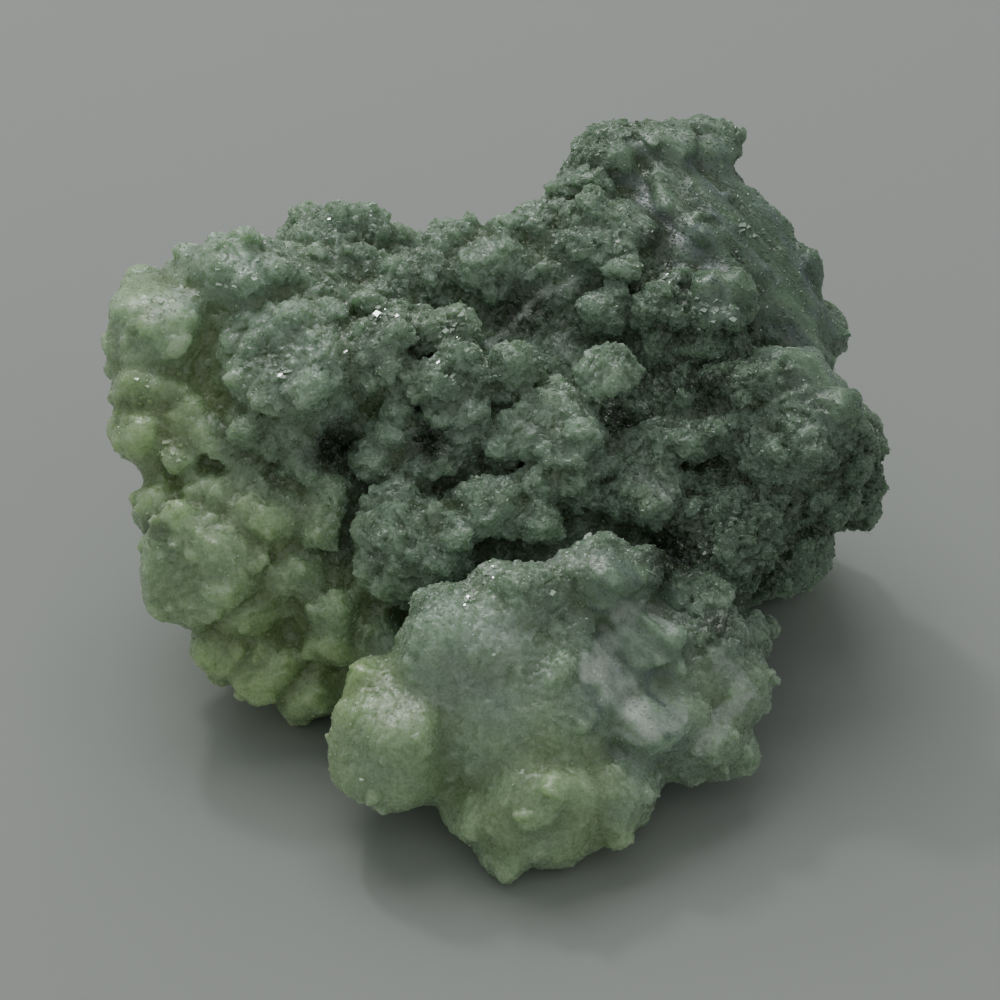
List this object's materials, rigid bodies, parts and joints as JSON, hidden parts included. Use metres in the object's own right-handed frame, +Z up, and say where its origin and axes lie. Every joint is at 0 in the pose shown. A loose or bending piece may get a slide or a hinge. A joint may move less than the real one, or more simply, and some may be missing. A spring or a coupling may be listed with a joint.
{
  "type": "prehnite with byssolite mineral specimen",
  "caption": "Rough hand specimen of pale green botryoidal prehnite intergrown with dark fibrous byssolite; lies on its own uneven base.",
  "frame": {"origin": "on the surface that the stone lies on, below the middle of its bounding box", "axes": "+Z up; +X to the right and +Y to the back as seen from the side with the sloping crystal-covered face and the pale lobe"},
  "size_m": [0.0616, 0.0534, 0.0371],
  "materials": {
    "prehnite": "translucent pale yellow-green prehnite with a sugary crystal surface, darker grey-green where byssolite fibres fill it"
  },
  "bodies": {
    "root": {"prehnite_with_byssolite": "prehnite"}
  },
  "joints": []
}
